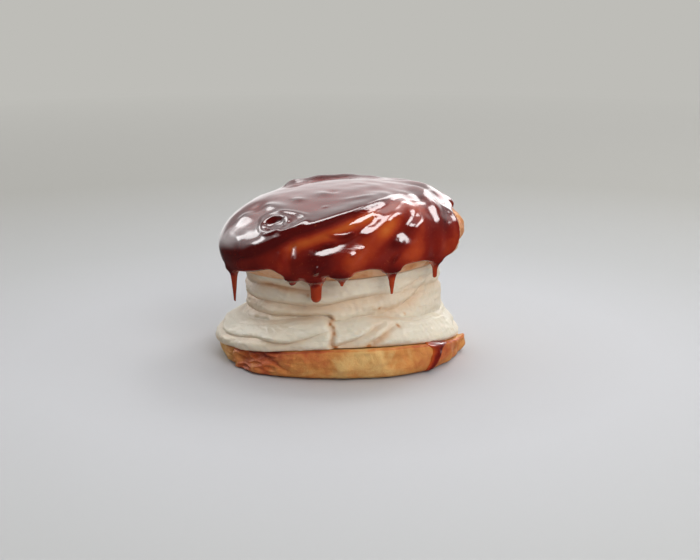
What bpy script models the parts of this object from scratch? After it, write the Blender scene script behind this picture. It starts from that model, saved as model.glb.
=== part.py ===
"""Caramel cream puff: a choux base, two tiers of piped cream and a choux lid under caramel.

Metres, +Z up. The origin is the middle of the base's underside and the front faces -Y.
Every piece starts as a UV sphere whose rings are laid along that piece's own section,
from the middle of its top, out to its side and back to the middle of its underside."""

import math

import bmesh
import bpy
import numpy as np

MM = 0.001
GAP = 0.4 * MM  # clearance between neighbouring pieces
SEGMENTS = 72  # round the puff

# Choux base, the lower half of the sliced puff
BASE_RIM_RADIUS = 38.7 * MM
BASE_FOOT_RADIUS = 36.0 * MM
BASE_MIDDLE_HEIGHT = 8.0 * MM
BASE_FLAT_SHARE = 0.5  # share of the radius over which the top is level
BASE_RIM_HEIGHT = 5.2 * MM
BASE_FRONT_RISE = 5.6 * MM  # the rim is highest at the front
BASE_FRONT_FLAT = 2.6 * MM  # and the front is flatter than round
BASE_FOLD_ANGLE = math.radians(-137)  # a fold of crust stands out at the left of the front
BASE_FOLD_REACH = 3.2 * MM
BASE_CRAG = 0.7 * MM
FLAKE_ANGLE = math.radians(-4)
FLAKE_REACH = 1.8 * MM
BASE_TOP_RINGS = 4
BASE_SIDE_RINGS = 6

# Piped cream: a wide lower tier and a narrower upper one, each with nozzle flutes
CREAM_LOWER_RADIUS = 37.6 * MM
CREAM_UPPER_RADIUS = 29.8 * MM
CREAM_STEP_HEIGHT = 13.4 * MM
CREAM_FRONT_RISE = 5.2 * MM  # the step is highest at the front
CREAM_SHIFT = 1.0 * MM  # the lower tier sits to the left of the upper one
CREAM_FLUTE_DEPTH = 2.0 * MM
LOWER_FLUTES = 2
UPPER_FLUTES = 4
RINGS_PER_FLUTE = 3
SEAM_ANGLE = math.radians(-95)  # where the piped rope of the lower tier ends
SEAM_STEP = 0.42  # how far its crease jumps there, as a share of the tier's height

# Choux lid, piped as a swirl, which leans a little to the left
LID_RADIUS = 37.2 * MM
LID_SEAT_HEIGHT = 30.6 * MM
LID_GIRTH_HEIGHT = 36.4 * MM
LID_TOP_HEIGHT = 52.6 * MM
LID_TUCK = 12.0 * MM  # how deep an ellipse the side below the girth follows
LID_LEAN = math.tan(math.radians(3.3))
DOME_POWER = 2.3  # superellipse power of the dome: 2 is round, more is squarer
GIRTH_PLACE = 0.86  # where the girth lies between the middle of the top, 0, and the seat, 1
BARE_RINGS = 2  # between the glaze's edge and the seat

# Nozzle ridges of the lid, and the smooth coil on its top
RIDGE_ANGLES = (-176, -147, -118, -101, -84, -58, -29, 1, 31, 61, 91, 122, 153)  # at the rim
RIDGE_HEIGHT = 3.4 * MM
RIDGE_TWIST = math.radians(60)  # how far a ridge turns between the rim and the middle
RIDGE_SLANT = math.radians(6)  # and over the side below the girth
COIL_OUTER_RADIUS = 36.5 * MM  # the edge of the top coil starts at the rim on the left
COIL_INNER_RADIUS = 15.5 * MM  # and ends this far from the middle
COIL_WIND = math.radians(105)  # it has come half the way in after this much of a turn
LIP_HEIGHT = 1.2 * MM  # of the rounded edge in front of the coil

# Caramel glaze
GLAZE_FILM = 1.5 * MM
GLAZE_VALLEY_FILL = 1.1 * MM
GLAZE_BEAD = 0.7 * MM
GLAZE_EDGE_HEIGHT = 33.0 * MM
GLAZED_RINGS = 10  # from the middle of the top to the glaze's edge
BARE_PATCHES = ((-127, 9, 2.4), (0, 22, 13.0))  # degrees, degrees, mm of rise
DRIPS = (  # angle in degrees, drop below the edge in mm, radius in mm, tip power
    (-157, 10.4, 1.9, 1.1),
    (-114, 1.6, 1.1, 0.5),
    (-102, 6.6, 1.7, 0.35),
    (-90, 2.8, 1.6, 1.0),
    (-66, 7.2, 1.6, 1.1),
    (-38, 4.8, 1.0, 0.4),
    (58, 6.8, 1.6, 0.9),
    (96, 4.2, 1.5, 0.5),
    (131, 8.6, 1.7, 1.1),
    (168, 3.6, 1.3, 0.6),
)
DRIP_HEAD = 2.4 * MM  # how far above the edge a drip starts to swell
DRIP_FLARE = 0.5
DRIP_FRONT = 0.85  # a drip's reach outward, as a share of its radius
DRIP_BACK = 0.45  # and toward the lid
DRIP_SEGMENTS = 10
DRIP_HEAD_RINGS = 2
DRIP_BODY_RINGS = 6

CHOUX_COLOUR = (0.55, 0.25, 0.07, 1.0)
CREAM_COLOUR = (0.86, 0.80, 0.68, 1.0)
CARAMEL_COLOUR = (0.30, 0.06, 0.012, 1.0)


def clear_scene():
    for obj in list(bpy.data.objects):
        bpy.data.objects.remove(obj)


def new_collection(name):
    collection = bpy.data.collections.new(name)
    bpy.context.scene.collection.children.link(collection)
    return collection


def new_material(name, colour, roughness):
    material = bpy.data.materials.new(name)
    material.use_nodes = True
    shader = material.node_tree.nodes["Principled BSDF"]
    shader.inputs["Base Color"].default_value = colour
    shader.inputs["Roughness"].default_value = roughness
    shader.inputs["Metallic"].default_value = 0.0
    return material


def wrapped(angle):
    """An angle, or the difference of two, between minus pi and pi."""
    return (angle + math.pi) % (2 * math.pi) - math.pi


def bell(angle, centre, width):
    """1 at an angle, falling smoothly to 0 on both sides."""
    return np.exp(-((wrapped(angle - centre) / width) ** 2))


def eased(value):
    """A smooth step from 0 to 1 as the value goes from 0 to 1."""
    held = np.clip(value, 0, 1)
    return held * held * (3 - 2 * held)


def waver(angle, seed, waves=(2, 3, 5, 8)):
    """An uneven wave round the puff, within plus and minus 1, different for each seed."""
    phases = np.random.default_rng(seed).uniform(0, 2 * math.pi, len(waves))
    total = sum(np.sin(n * angle + p) / n for n, p in zip(waves, phases))
    return total / sum(1 / n for n in waves)


def cylindrical(radius, angle, height):
    return np.stack([radius * np.cos(angle), radius * np.sin(angle), height], axis=-1)


def base_rim_height(angle):
    """The height of the base's rim round the puff."""
    front = bell(angle, math.radians(-75), math.radians(58))
    return BASE_RIM_HEIGHT + BASE_FRONT_RISE * front + 0.4 * MM * waver(angle, 3)


def base_top_height(radius, angle):
    """The cut top of the base: level in the middle, then straight out to the uneven rim."""
    outward = (radius / BASE_RIM_RADIUS - BASE_FLAT_SHARE) / (1 - BASE_FLAT_SHARE)
    rise = base_rim_height(angle) - BASE_MIDDLE_HEIGHT
    return BASE_MIDDLE_HEIGHT + rise * np.maximum(outward, 0)


def base_point(angle, ring):
    rim_height = base_rim_height(angle)
    flat = BASE_FRONT_FLAT * bell(angle, math.radians(-88), math.radians(30))
    fold = BASE_FOLD_REACH * bell(angle, BASE_FOLD_ANGLE, math.radians(20))
    rim = BASE_RIM_RADIUS + 0.5 * MM * waver(angle, 5, (3, 7, 11, 17)) - 0.5 * flat
    rim = rim + FLAKE_REACH * bell(angle, FLAKE_ANGLE, math.radians(6))
    foot = BASE_FOOT_RADIUS + 0.8 * MM * waver(angle, 6, (3, 5, 7)) + fold - flat
    down = np.clip((ring - BASE_TOP_RINGS) / BASE_SIDE_RINGS, 0, 1)
    lumps = waver(angle + 2.2 * down, 7, (5, 9, 14)) * np.sin(math.pi * down)
    side = foot + (rim - foot) * np.sqrt(1 - down**2.4) + BASE_CRAG * lumps
    top = rim * np.clip(ring / BASE_TOP_RINGS, 0, 1)
    under = ring > BASE_TOP_RINGS + BASE_SIDE_RINGS
    on_top = ring < BASE_TOP_RINGS
    radius = np.where(on_top, top, np.where(under, 0, side))
    height = np.where(on_top, base_top_height(top, angle), rim_height * (1 - down))
    return cylindrical(radius, angle, height)


def seat_height(radius, angle):
    """The height of the lid's flat underside, which leans with the lid."""
    return LID_SEAT_HEIGHT + LID_LEAN * radius * np.cos(angle)


def crease_heights(angle):
    """The heights of the creases between the flutes, from the lid down to the base."""
    past_seam = (angle - SEAM_ANGLE) % (2 * math.pi) / (2 * math.pi)
    top = seat_height(CREAM_UPPER_RADIUS, angle) - GAP
    front = bell(angle, math.radians(-90), math.radians(50))
    step = CREAM_STEP_HEIGHT + CREAM_FRONT_RISE * front + 0.5 * MM * waver(angle, 11)
    foot = base_top_height(CREAM_LOWER_RADIUS, angle) + GAP
    creases = []
    for k in range(UPPER_FLUTES):
        level = top + (step - top) * k / UPPER_FLUTES
        creases.append(level + 0.7 * MM * waver(angle, 20 + k, (1, 2, 3)) * (k > 0))
    climb = SEAM_STEP * (eased(past_seam / 0.1) * (1 - 0.6 * eased(past_seam / 0.4)) - 0.7)
    climb = climb + SEAM_STEP * 0.8 * eased((past_seam - 0.92) / 0.08)
    creases.append(step)
    creases.append(step + (foot - step) * (0.5 - climb))
    creases.append(foot)
    return creases


def crease_radii(angle):
    """How far out each crease lies, from the lid down to the base."""
    radii = []
    shift = CREAM_SHIFT * np.cos(angle)
    for k in range(UPPER_FLUTES):
        spread = 1.2 * MM * (k / UPPER_FLUTES) ** 2
        uneven = 0.5 * MM * waver(angle, 30 + k)
        radii.append(CREAM_UPPER_RADIUS + spread + uneven + 0.6 * shift)
    for inset in (3.6 * MM, 0.2 * MM, 0.9 * MM):
        radii.append(CREAM_LOWER_RADIUS - inset + 0.3 * MM * waver(angle, 40) - shift)
    return radii


def cream_point(angle, ring):
    """A flute bulges out between each two creases, and the creases stay sharp."""
    heights = np.stack(crease_heights(angle))
    radii = np.stack(crease_radii(angle))
    flutes = UPPER_FLUTES + LOWER_FLUTES
    last_side_ring = 1 + flutes * RINGS_PER_FLUTE
    place = np.clip((ring - 1) / RINGS_PER_FLUTE, 0, flutes)
    flute = np.minimum(place, flutes - 1).astype(int)
    within = place - flute
    column = np.arange(len(angle))
    upper, lower = heights[flute, column], heights[flute + 1, column]
    inner, outer = radii[flute, column], radii[flute + 1, column]
    bulge = CREAM_FLUTE_DEPTH * np.sin(math.pi * within) ** 0.7
    radius = inner + (outer - inner) * eased(within) + bulge
    height = upper + (lower - upper) * within
    under_radius = BASE_FLAT_SHARE * BASE_RIM_RADIUS * (ring == last_side_ring + 1)
    under_height = base_top_height(under_radius, angle) + GAP
    under = ring > last_side_ring
    radius = np.where(ring == 0, 0, np.where(under, under_radius, radius))
    height = np.where(ring == 0, LID_SEAT_HEIGHT - GAP, np.where(under, under_height, height))
    return cylindrical(radius, angle, height)


def dome_profile(place):
    """The lid's plain section without ridges: its radius and height at a place."""
    turn = np.clip(place / GIRTH_PLACE, 0, 1) * math.pi / 2
    rise = LID_TOP_HEIGHT - LID_GIRTH_HEIGHT
    upper_radius = LID_RADIUS * np.sin(turn) ** (2 / DOME_POWER)
    upper_height = LID_GIRTH_HEIGHT + rise * np.clip(np.cos(turn), 0, 1) ** (2 / DOME_POWER)
    down = np.clip((place - GIRTH_PLACE) / (1 - GIRTH_PLACE), 0, 1)
    drop = (LID_GIRTH_HEIGHT - LID_SEAT_HEIGHT) * down
    side_radius = LID_RADIUS * np.sqrt(1 - (drop / LID_TUCK) ** 2)
    above = place < GIRTH_PLACE
    radius = np.where(above, upper_radius, side_radius)
    return radius, np.where(above, upper_height, LID_GIRTH_HEIGHT - drop)


def dome_normal(place):
    """The outward direction of the plain section, as radius and height."""
    step = 1e-3
    middle = np.clip(place, step, 1 - step)
    near_radius, near_height = dome_profile(middle - step)
    far_radius, far_height = dome_profile(middle + step)
    across, along = near_height - far_height, far_radius - near_radius
    length = np.hypot(across, along)
    return across / length, along / length


def place_at_height(height):
    """Where on the lid's section a height lies, on the dome or on the side below it."""
    rise = np.clip((height - LID_GIRTH_HEIGHT) / (LID_TOP_HEIGHT - LID_GIRTH_HEIGHT), 0, 1)
    on_dome = GIRTH_PLACE * np.arccos(rise ** (DOME_POWER / 2)) / (math.pi / 2)
    down = (LID_GIRTH_HEIGHT - height) / (LID_GIRTH_HEIGHT - LID_SEAT_HEIGHT)
    return np.where(height > LID_GIRTH_HEIGHT, on_dome, GIRTH_PLACE + (1 - GIRTH_PLACE) * down)


def coil_edge_radius(angle):
    """The edge of the smooth top coil, which winds in from the rim at the left."""
    turned = (angle - math.pi) % (2 * math.pi)
    winding = 1 / (1 + (turned / COIL_WIND) ** 4)
    closing = eased((turned - math.radians(315)) / math.radians(45))
    share = np.maximum(winding, closing)
    return COIL_INNER_RADIUS + (COIL_OUTER_RADIUS - COIL_INNER_RADIUS) * share


def ridge_share(angle, place, roundness):
    """1 on the crest of a nozzle ridge and 0 in a valley. Ridges slant and twist inward."""
    radius, height = dome_profile(place)
    inward = 1 - np.clip(radius / LID_RADIUS, 0, 1) ** 2.5
    up_side = np.clip((height - LID_SEAT_HEIGHT) / (LID_GIRTH_HEIGHT - LID_SEAT_HEIGHT), 0, 1)
    at_rim = wrapped(angle - RIDGE_TWIST * inward - RIDGE_SLANT * up_side)
    crests = np.radians(RIDGE_ANGLES + (RIDGE_ANGLES[0] + 360,))
    at_rim = np.where(at_rim < crests[0], at_rim + 2 * math.pi, at_rim)
    number = np.interp(at_rim, crests, np.arange(len(crests)))
    crest = np.sqrt(np.cos(math.pi * number) ** 2 + roundness**2)
    return crest / math.sqrt(1 + roundness**2)


def ridge_reach(angle, place):
    """How much of its height a ridge has: none inside the top coil, all of it outside."""
    radius, _ = dome_profile(place)
    return eased((radius - coil_edge_radius(angle)) / (7 * MM))


def coil_lip(angle, place):
    """The rounded edge of the top coil, which stands up over the ridges at the front."""
    radius, _ = dome_profile(place)
    across = (radius - coil_edge_radius(angle)) / (3 * MM)
    front = bell(angle, math.radians(-95), math.radians(38))
    return LIP_HEIGHT * np.exp(-(across**2)) * front


def lid_relief(angle, place):
    crest = ridge_share(angle, place, 0.12) - 0.6
    return RIDGE_HEIGHT * crest * ridge_reach(angle, place) + coil_lip(angle, place)


def glaze_relief(angle, place):
    """The caramel's outer face: thin on the crests, thick in the valleys and at its edge."""
    crest = ridge_share(angle, place, 0.35) - 0.6
    reach = ridge_reach(angle, place)
    ridges = (RIDGE_HEIGHT - GLAZE_VALLEY_FILL) * crest * reach
    _, height = dome_profile(place)
    bead = GLAZE_BEAD * np.exp(-(((height - glaze_edge_height(angle)) / (2.5 * MM)) ** 2))
    lift = coil_lip(angle, place) + GLAZE_FILM + 0.5 * GLAZE_VALLEY_FILL * reach
    return ridges + lift + bead


def glaze_edge_height(angle):
    edge = GLAZE_EDGE_HEIGHT + 0.6 * MM * waver(angle, 50, (5, 9, 13))
    for centre, width, rise in BARE_PATCHES:
        edge = edge + rise * MM * bell(angle, math.radians(centre), math.radians(width))
    return edge


def raised(angle, place, relief):
    """A point this far out from the lid's plain section, leaning with the lid."""
    radius, height = dome_profile(place)
    outward, upward = dome_normal(place)
    radius = np.maximum(radius + outward * relief, 0)
    height = height + upward * relief
    return cylindrical(radius, angle, height + LID_LEAN * radius * np.cos(angle))


def lid_point(angle, ring):
    """Down the glazed face to the glaze's edge, down the bare side and under the lid."""
    edge = place_at_height(glaze_edge_height(angle))
    glazed = edge * np.clip(ring / GLAZED_RINGS, 0, 1)
    bare = (1 - edge) * np.clip((ring - GLAZED_RINGS) / BARE_RINGS, 0, 1)
    place = glazed + bare
    point = raised(angle, place, lid_relief(angle, place) * (ring < GLAZED_RINGS + BARE_RINGS))
    middle = cylindrical(0 * angle, angle, LID_SEAT_HEIGHT + 0 * angle)
    return np.where((ring > GLAZED_RINGS + BARE_RINGS)[:, None], middle, point)


def glaze_point(angle, ring):
    """Down the outer face to the edge, then back up the inner face."""
    edge = place_at_height(glaze_edge_height(angle))
    outer = edge * np.clip(ring / GLAZED_RINGS, 0, 1)
    inner = edge * np.clip((2 * GLAZED_RINGS + 1 - ring) / GLAZED_RINGS, 0, 1)
    outer_relief = glaze_relief(angle, outer)
    inner_relief = lid_relief(angle, inner) + GAP
    outside = ring <= GLAZED_RINGS
    place = np.where(outside, outer, inner)
    return raised(angle, place, np.where(outside, outer_relief, inner_relief))


def formed(name, collection, material, segments, rings, point, diagonals="FIXED"):
    """A UV sphere whose vertices are moved to where point(angle, ring) puts them."""
    shape = bmesh.new()
    bmesh.ops.create_uvsphere(shape, u_segments=segments, v_segments=rings, radius=1)
    start = np.array([vertex.co for vertex in shape.verts])
    angle = np.arctan2(start[:, 1], start[:, 0])
    ring = np.round(np.arccos(np.clip(start[:, 2], -1, 1)) / math.pi * rings)
    for vertex, place in zip(shape.verts, point(angle, ring)):
        vertex.co = place
    bmesh.ops.triangulate(shape, faces=shape.faces, quad_method=diagonals)
    mesh = bpy.data.meshes.new(name)
    shape.to_mesh(mesh)
    shape.free()
    mesh.shade_smooth()
    mesh.materials.append(material)
    obj = bpy.data.objects.new(name, mesh)
    collection.objects.link(obj)
    return obj


def add_drip(collection, material, angle, drop, radius, tip_power):
    """A drop of caramel: a spindle whose head lies in the glaze just above its edge."""
    angle = math.radians(angle)

    def point(turn, ring):
        column = angle + 0 * turn
        above = 1 - np.clip(ring / DRIP_HEAD_RINGS, 0, 1)
        below = np.clip((ring - DRIP_HEAD_RINGS) / DRIP_BODY_RINGS, 0, 1)
        swell = np.where(above > 0, (1 - above) ** 0.5, (1 - below) ** tip_power)
        width = radius * swell * (1 + DRIP_FLARE * np.exp(-below / 0.15))
        reach = radius * swell * np.where(np.cos(turn) > 0, DRIP_FRONT, DRIP_BACK)
        place = place_at_height(glaze_edge_height(column) + DRIP_HEAD * above)
        off_lid = lid_relief(column, place) + 2 * GAP + DRIP_BACK * radius * swell
        centre = raised(column, place, off_lid)
        centre[:, 2] -= drop * below
        outward = np.array([math.cos(angle), math.sin(angle), 0])
        sideways = np.array([-math.sin(angle), math.cos(angle), 0])
        front_and_back = (reach * np.cos(turn))[:, None] * outward
        return centre + front_and_back + (width * np.sin(turn))[:, None] * sideways

    rings = DRIP_HEAD_RINGS + DRIP_BODY_RINGS
    return formed("drip", collection, material, DRIP_SEGMENTS, rings, point)


def fuse(body, collection):
    """Joins the collection's pieces to the body, and takes the pieces away."""
    union = body.modifiers.new("fuse", "BOOLEAN")
    union.operation = "UNION"
    union.operand_type = "COLLECTION"
    union.collection = collection
    union.solver = "EXACT"
    bpy.context.view_layer.objects.active = body
    bpy.ops.object.modifier_apply(modifier=union.name)
    for piece in list(collection.objects):
        bpy.data.objects.remove(piece)
    bpy.data.collections.remove(collection)


def build():
    clear_scene()
    puff = new_collection("caramel_cream_puff")
    choux = new_material("choux", CHOUX_COLOUR, 0.6)
    cream = new_material("cream", CREAM_COLOUR, 0.5)
    caramel = new_material("caramel", CARAMEL_COLOUR, 0.1)
    base_rings = BASE_TOP_RINGS + BASE_SIDE_RINGS + 1
    cream_rings = (UPPER_FLUTES + LOWER_FLUTES) * RINGS_PER_FLUTE + 3
    lid_rings = GLAZED_RINGS + BARE_RINGS + 1
    glaze_rings = 2 * GLAZED_RINGS + 1
    formed("base_choux", puff, choux, SEGMENTS, base_rings, base_point)
    formed("cream_swirl", puff, cream, SEGMENTS, cream_rings, cream_point)
    formed("lid_choux", puff, choux, SEGMENTS, lid_rings, lid_point)
    # the glaze's inner rings run upward, so that this gives its inner face the lid's diagonals
    glaze = formed(
        "caramel_glaze", puff, caramel, SEGMENTS, glaze_rings, glaze_point, "ALTERNATE"
    )
    drips = new_collection("drips")
    for angle, drop, radius, tip_power in DRIPS:
        add_drip(drips, caramel, angle, drop * MM, radius * MM, tip_power)
    fuse(glaze, drips)


build()
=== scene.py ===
import math

import bpy
import numpy as np
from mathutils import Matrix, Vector
from mathutils.bvhtree import BVHTree


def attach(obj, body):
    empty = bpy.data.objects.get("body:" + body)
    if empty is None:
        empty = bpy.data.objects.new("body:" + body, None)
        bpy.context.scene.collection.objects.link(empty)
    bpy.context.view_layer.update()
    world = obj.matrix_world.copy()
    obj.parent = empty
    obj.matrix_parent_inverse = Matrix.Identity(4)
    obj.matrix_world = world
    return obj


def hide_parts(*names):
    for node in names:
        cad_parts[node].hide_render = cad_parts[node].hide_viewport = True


# The looks of a caramel cream puff: two choux halves, two tiers of piped cream and a glaze
# that drips. Shapes are worked out in millimetres and become metres in the meshes.
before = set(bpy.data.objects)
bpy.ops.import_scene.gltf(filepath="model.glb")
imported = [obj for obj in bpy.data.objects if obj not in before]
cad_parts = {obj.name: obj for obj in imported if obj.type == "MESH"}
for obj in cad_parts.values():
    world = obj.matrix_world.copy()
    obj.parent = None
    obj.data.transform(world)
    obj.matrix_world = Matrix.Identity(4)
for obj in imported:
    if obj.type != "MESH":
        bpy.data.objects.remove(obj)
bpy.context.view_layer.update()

MM = 0.001
GAP = 0.4  # mm between two layers

# The camera in metres, its lens in mm
CAMERA_DISTANCE = 0.45
CAMERA_ELEVATION = math.radians(13.5)
CAMERA_TARGET = (0.0027, 0.0, 0.0228)
LENS = 72.3
SENSOR = 36.0

# The base and the lid have the same main forms as their solids. Sizes are in mm. Directions
# are in degrees from +X, so that the front is at -90, and so are the widths of what lies there.
BASE_RIM_RADIUS = 38.7
BASE_FOOT_RADIUS = 36.0
BASE_MIDDLE_HEIGHT = 8.0
BASE_FLAT_SHARE = 0.5
BASE_RIM_HEIGHT = 5.2
BASE_FRONT_RISE = 5.6
BASE_FRONT_FLAT = 2.6
BASE_FOLD_ANGLE = -137
BASE_FOLD_REACH = 3.2
FOLD_LEFT_EDGE = -153
FOLD_CREASE = (-128, 6.6, -0.32)  # direction, height there and slope in mm a degree
FLAKE_ANGLE = -4  # a flake of crust stands up at the right
FLAKE_WIDTH = 3.5
FLAKE_RISE = 1.3
FLAKE_REACH = 1.8
BASE_UNDERCUT = 1.6  # the foot curls in under the side

LID_RADIUS = 37.2
LID_SEAT_HEIGHT = 30.6
LID_GIRTH_HEIGHT = 36.4
LID_TOP_HEIGHT = 52.6
LID_TUCK = 12.0  # the side below the girth is part of an ellipse of this half height
LID_LEAN = math.tan(math.radians(3.3))
DOME_POWER = 2.3
GIRTH_PLACE = 0.86  # share of the section that lies above the girth

RIDGE_ANGLES = (-176, -147, -118, -101, -84, -58, -29, 1, 31, 61, 91, 122, 153)
RIDGE_HEIGHT = 3.4
RIDGE_TWIST = math.radians(60)
RIDGE_SLANT = math.radians(6)
COIL_OUTER_RADIUS = 36.9
COIL_INNER_RADIUS = 15.5
COIL_WIND = math.radians(105)
COIL_CLOSING = math.radians(45)
LID_SINK = 0.5  # the lid lies this much deeper under the glaze

GLAZE_FILM = 1.5
GLAZE_VALLEY_FILL = 1.1  # more of it in the grooves of the lid
GLAZE_BEAD = 0.7  # and along its edge
GLAZE_LIP = 1.6  # where it turns over the coil's edge
GLAZE_LIP_RISE = 5.5
GLAZE_LIP_FALL = 3.6
GLAZE_HOLLOW = (1.8, 42.0, 3.6)  # mm deep, height and half height in mm, under the lip
GLAZE_LEAST = 0.5  # mm of caramel over the lid
# Height of the glaze's lower edge round the puff, in degrees and mm
GLAZE_EDGE = (
    (-175, 31.8), (-159, 31.2), (-149, 31.8), (-135, 33.1), (-124, 34.8), (-120, 34.4),
    (-114, 31.4), (-108, 31.5), (-102, 31.0), (-95.6, 33.1), (-89, 32.6), (-83, 33.8),
    (-76, 34.2), (-66, 32.6), (-59, 34.4), (-50, 34.1), (-36, 31.8), (-32, 33.0),
    (-29, 34.2), (-25, 38.0), (-20, 44.5), (0, 46.5), (14, 44.0), (26, 38.0), (45, 33.6), (58, 32.2),
    (75, 33.8), (96, 32.2), (112, 34.0), (131, 31.8), (150, 33.8), (168, 32.2),
)
DRIPS = (  # degrees, mm below the edge, radius at the root and at the tip in mm
    (-160.5, 10.6, 1.8, 0.45),
    (-114, 1.6, 1.3, 0.7),
    (-102, 6.6, 1.8, 1.6),
    (-89.5, 3.0, 1.9, 0.4),
    (-66, 7.3, 1.5, 0.4),
    (-38, 4.9, 1.0, 0.8),
    (58, 6.8, 1.6, 0.6),
    (96, 4.2, 1.5, 1.2),
    (131, 8.6, 1.7, 0.5),
    (168, 3.6, 1.3, 1.0),
)
DRIP_FLARE = 1.0  # how much wider a drip's root is
DRIP_WEB = 2.2  # how softly it runs into the edge
DRIP_HEAD = 3.0  # how far it reaches up over the edge
DRIP_FLATNESS = (0.85, 0.6)  # its thickness for its width, outside and inside
DRIP_TURN = 0.3  # no drip reaches further to the side, in radians
DRIPS_BELOW = 40  # or further up
GLAZE_STEP = 0.47  # of the grid that the glaze is meshed on


def wrapped(angle):
    return (angle + math.pi) % (2 * math.pi) - math.pi


def turn_from(angle, degrees):
    """How far angles in radians are past a direction in degrees, in radians within half a turn."""
    return wrapped(angle - math.radians(degrees))


def bell(angle, degrees, width, power=2):
    """1 in a direction, and less on both sides of it; direction and width are in degrees."""
    return np.exp(-((turn_from(angle, degrees) / math.radians(width)) ** power))


def hill(value, half):
    """1 where the value is 0, and less on both sides of it."""
    return np.exp(-((value / half) ** 2))


def eased(value):
    held = np.clip(value, 0, 1)
    return held * held * (3 - 2 * held)


def waver(angle, seed, waves=(2, 3, 5, 8)):
    phases = np.random.default_rng(seed).uniform(0, 2 * math.pi, len(waves))
    total = sum(np.sin(n * angle + p) / n for n, p in zip(waves, phases))
    return total / sum(1 / n for n in waves)


def smooth_min(a, b, blend):
    share = np.clip(0.5 + 0.5 * (b - a) / blend, 0, 1)
    return b * (1 - share) + a * share - blend * share * (1 - share)


def smooth_max(a, b, blend):
    return -smooth_min(-a, -b, blend)


def around(columns):
    """The angles of this many columns, all the way round."""
    return np.linspace(-math.pi, math.pi, columns, endpoint=False)


def cylindrical(radius, angle, height):
    x, y = radius * np.cos(angle), radius * np.sin(angle)
    return np.stack(np.broadcast_arrays(x, y, height), axis=-1)


def leaning(radius, angle, height):
    """Points of the lid or of what touches it, which is higher at the right."""
    return cylindrical(radius, angle, height + LID_LEAN * radius * np.cos(angle))


def without_lean(points):
    """The radius, the angle and the height above the leaning plane."""
    x, y, z = points.T
    return np.hypot(x, y), np.arctan2(y, x), z - LID_LEAN * x


def grain(points, size, seed, waves=28):
    """Smooth noise about 0 with bumps of about this size in mm."""
    rng = np.random.default_rng(seed)
    direction = rng.normal(size=(waves, 3))
    direction /= np.linalg.norm(direction, axis=1)[:, None]
    pitch = rng.uniform(0.6, 1.5, waves) * math.pi / size
    phase = rng.uniform(0, 2 * math.pi, waves)
    total = np.zeros(points.shape[:-1])
    for turn, rate, start in zip(direction, pitch, phase):
        total += np.cos(points @ (turn * rate) + start)
    return total / math.sqrt(waves)


def round_curve(points, softness=2.5):
    """A smooth closed curve round the puff through (degrees, value) points."""
    degrees, values = np.array(points, float).T
    steps = np.arange(-180, 180, 0.5)
    line = np.interp(steps, degrees, values, period=360)
    kernel = np.exp(-((np.minimum(steps + 180, 180 - steps) / softness) ** 2))
    kernel /= kernel.sum()
    line = np.fft.irfft(np.fft.rfft(line) * np.fft.rfft(kernel), len(steps))
    return lambda angle: np.interp(np.degrees(angle), steps, line, period=360)


# The lid's section
def dome_profile(place):
    """Radius and height of the lid, from its top at place 0 down to its seat at place 1."""
    turn = np.clip(place / GIRTH_PLACE, 0, 1) * math.pi / 2
    rise = LID_TOP_HEIGHT - LID_GIRTH_HEIGHT
    upper_radius = LID_RADIUS * np.sin(turn) ** (2 / DOME_POWER)
    upper_height = LID_GIRTH_HEIGHT + rise * np.clip(np.cos(turn), 0, 1) ** (2 / DOME_POWER)
    down = np.clip((place - GIRTH_PLACE) / (1 - GIRTH_PLACE), 0, 1)
    drop = (LID_GIRTH_HEIGHT - LID_SEAT_HEIGHT) * down
    side_radius = LID_RADIUS * np.sqrt(1 - (drop / LID_TUCK) ** 2)
    above = place < GIRTH_PLACE
    radius = np.where(above, upper_radius, side_radius)
    return radius, np.where(above, upper_height, LID_GIRTH_HEIGHT - drop)


def dome_normal(place):
    step = 1e-3
    middle = np.clip(place, step, 1 - step)
    near_radius, near_height = dome_profile(middle - step)
    far_radius, far_height = dome_profile(middle + step)
    across, along = near_height - far_height, far_radius - near_radius
    length = np.hypot(across, along)
    return across / length, along / length


def raised(angle, place, relief):
    """Points this far out from the dome."""
    radius, height = dome_profile(place)
    outward, upward = dome_normal(place)
    return leaning(np.maximum(radius + outward * relief, 0), angle, height + upward * relief)


def place_at_height(height):
    rise = np.clip((height - LID_GIRTH_HEIGHT) / (LID_TOP_HEIGHT - LID_GIRTH_HEIGHT), 0, 1)
    on_dome = GIRTH_PLACE * np.arccos(rise ** (DOME_POWER / 2)) / (math.pi / 2)
    down = (LID_GIRTH_HEIGHT - height) / (LID_GIRTH_HEIGHT - LID_SEAT_HEIGHT)
    return np.where(height > LID_GIRTH_HEIGHT, on_dome, GIRTH_PLACE + (1 - GIRTH_PLACE) * down)


def coil_edge_radius(angle):
    """The flat coil on top starts at the left, wide, and winds inward over the front."""
    turned = (angle - math.pi) % (2 * math.pi)
    winding = 1 / (1 + (turned / COIL_WIND) ** 4)
    closing = eased((turned - 2 * math.pi) / COIL_CLOSING + 1)
    share = np.maximum(winding, closing)
    return COIL_INNER_RADIUS + (COIL_OUTER_RADIUS - COIL_INNER_RADIUS) * share


def ridge_share(angle, place, roundness):
    """1 on the crests of the lid's ridges and least in the grooves between them."""
    radius, height = dome_profile(place)
    inward = 1 - np.clip(radius / LID_RADIUS, 0, 1) ** 2.5
    up_side = np.clip((height - LID_SEAT_HEIGHT) / (LID_GIRTH_HEIGHT - LID_SEAT_HEIGHT), 0, 1)
    at_rim = wrapped(angle - RIDGE_TWIST * inward - RIDGE_SLANT * up_side)
    crests = np.radians(RIDGE_ANGLES + (RIDGE_ANGLES[0] + 360,))
    at_rim = np.where(at_rim < crests[0], at_rim + 2 * math.pi, at_rim)
    number = np.interp(at_rim, crests, np.arange(len(crests)))
    crest = np.sqrt(np.cos(math.pi * number) ** 2 + roundness**2)
    return crest / math.sqrt(1 + roundness**2)


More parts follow.
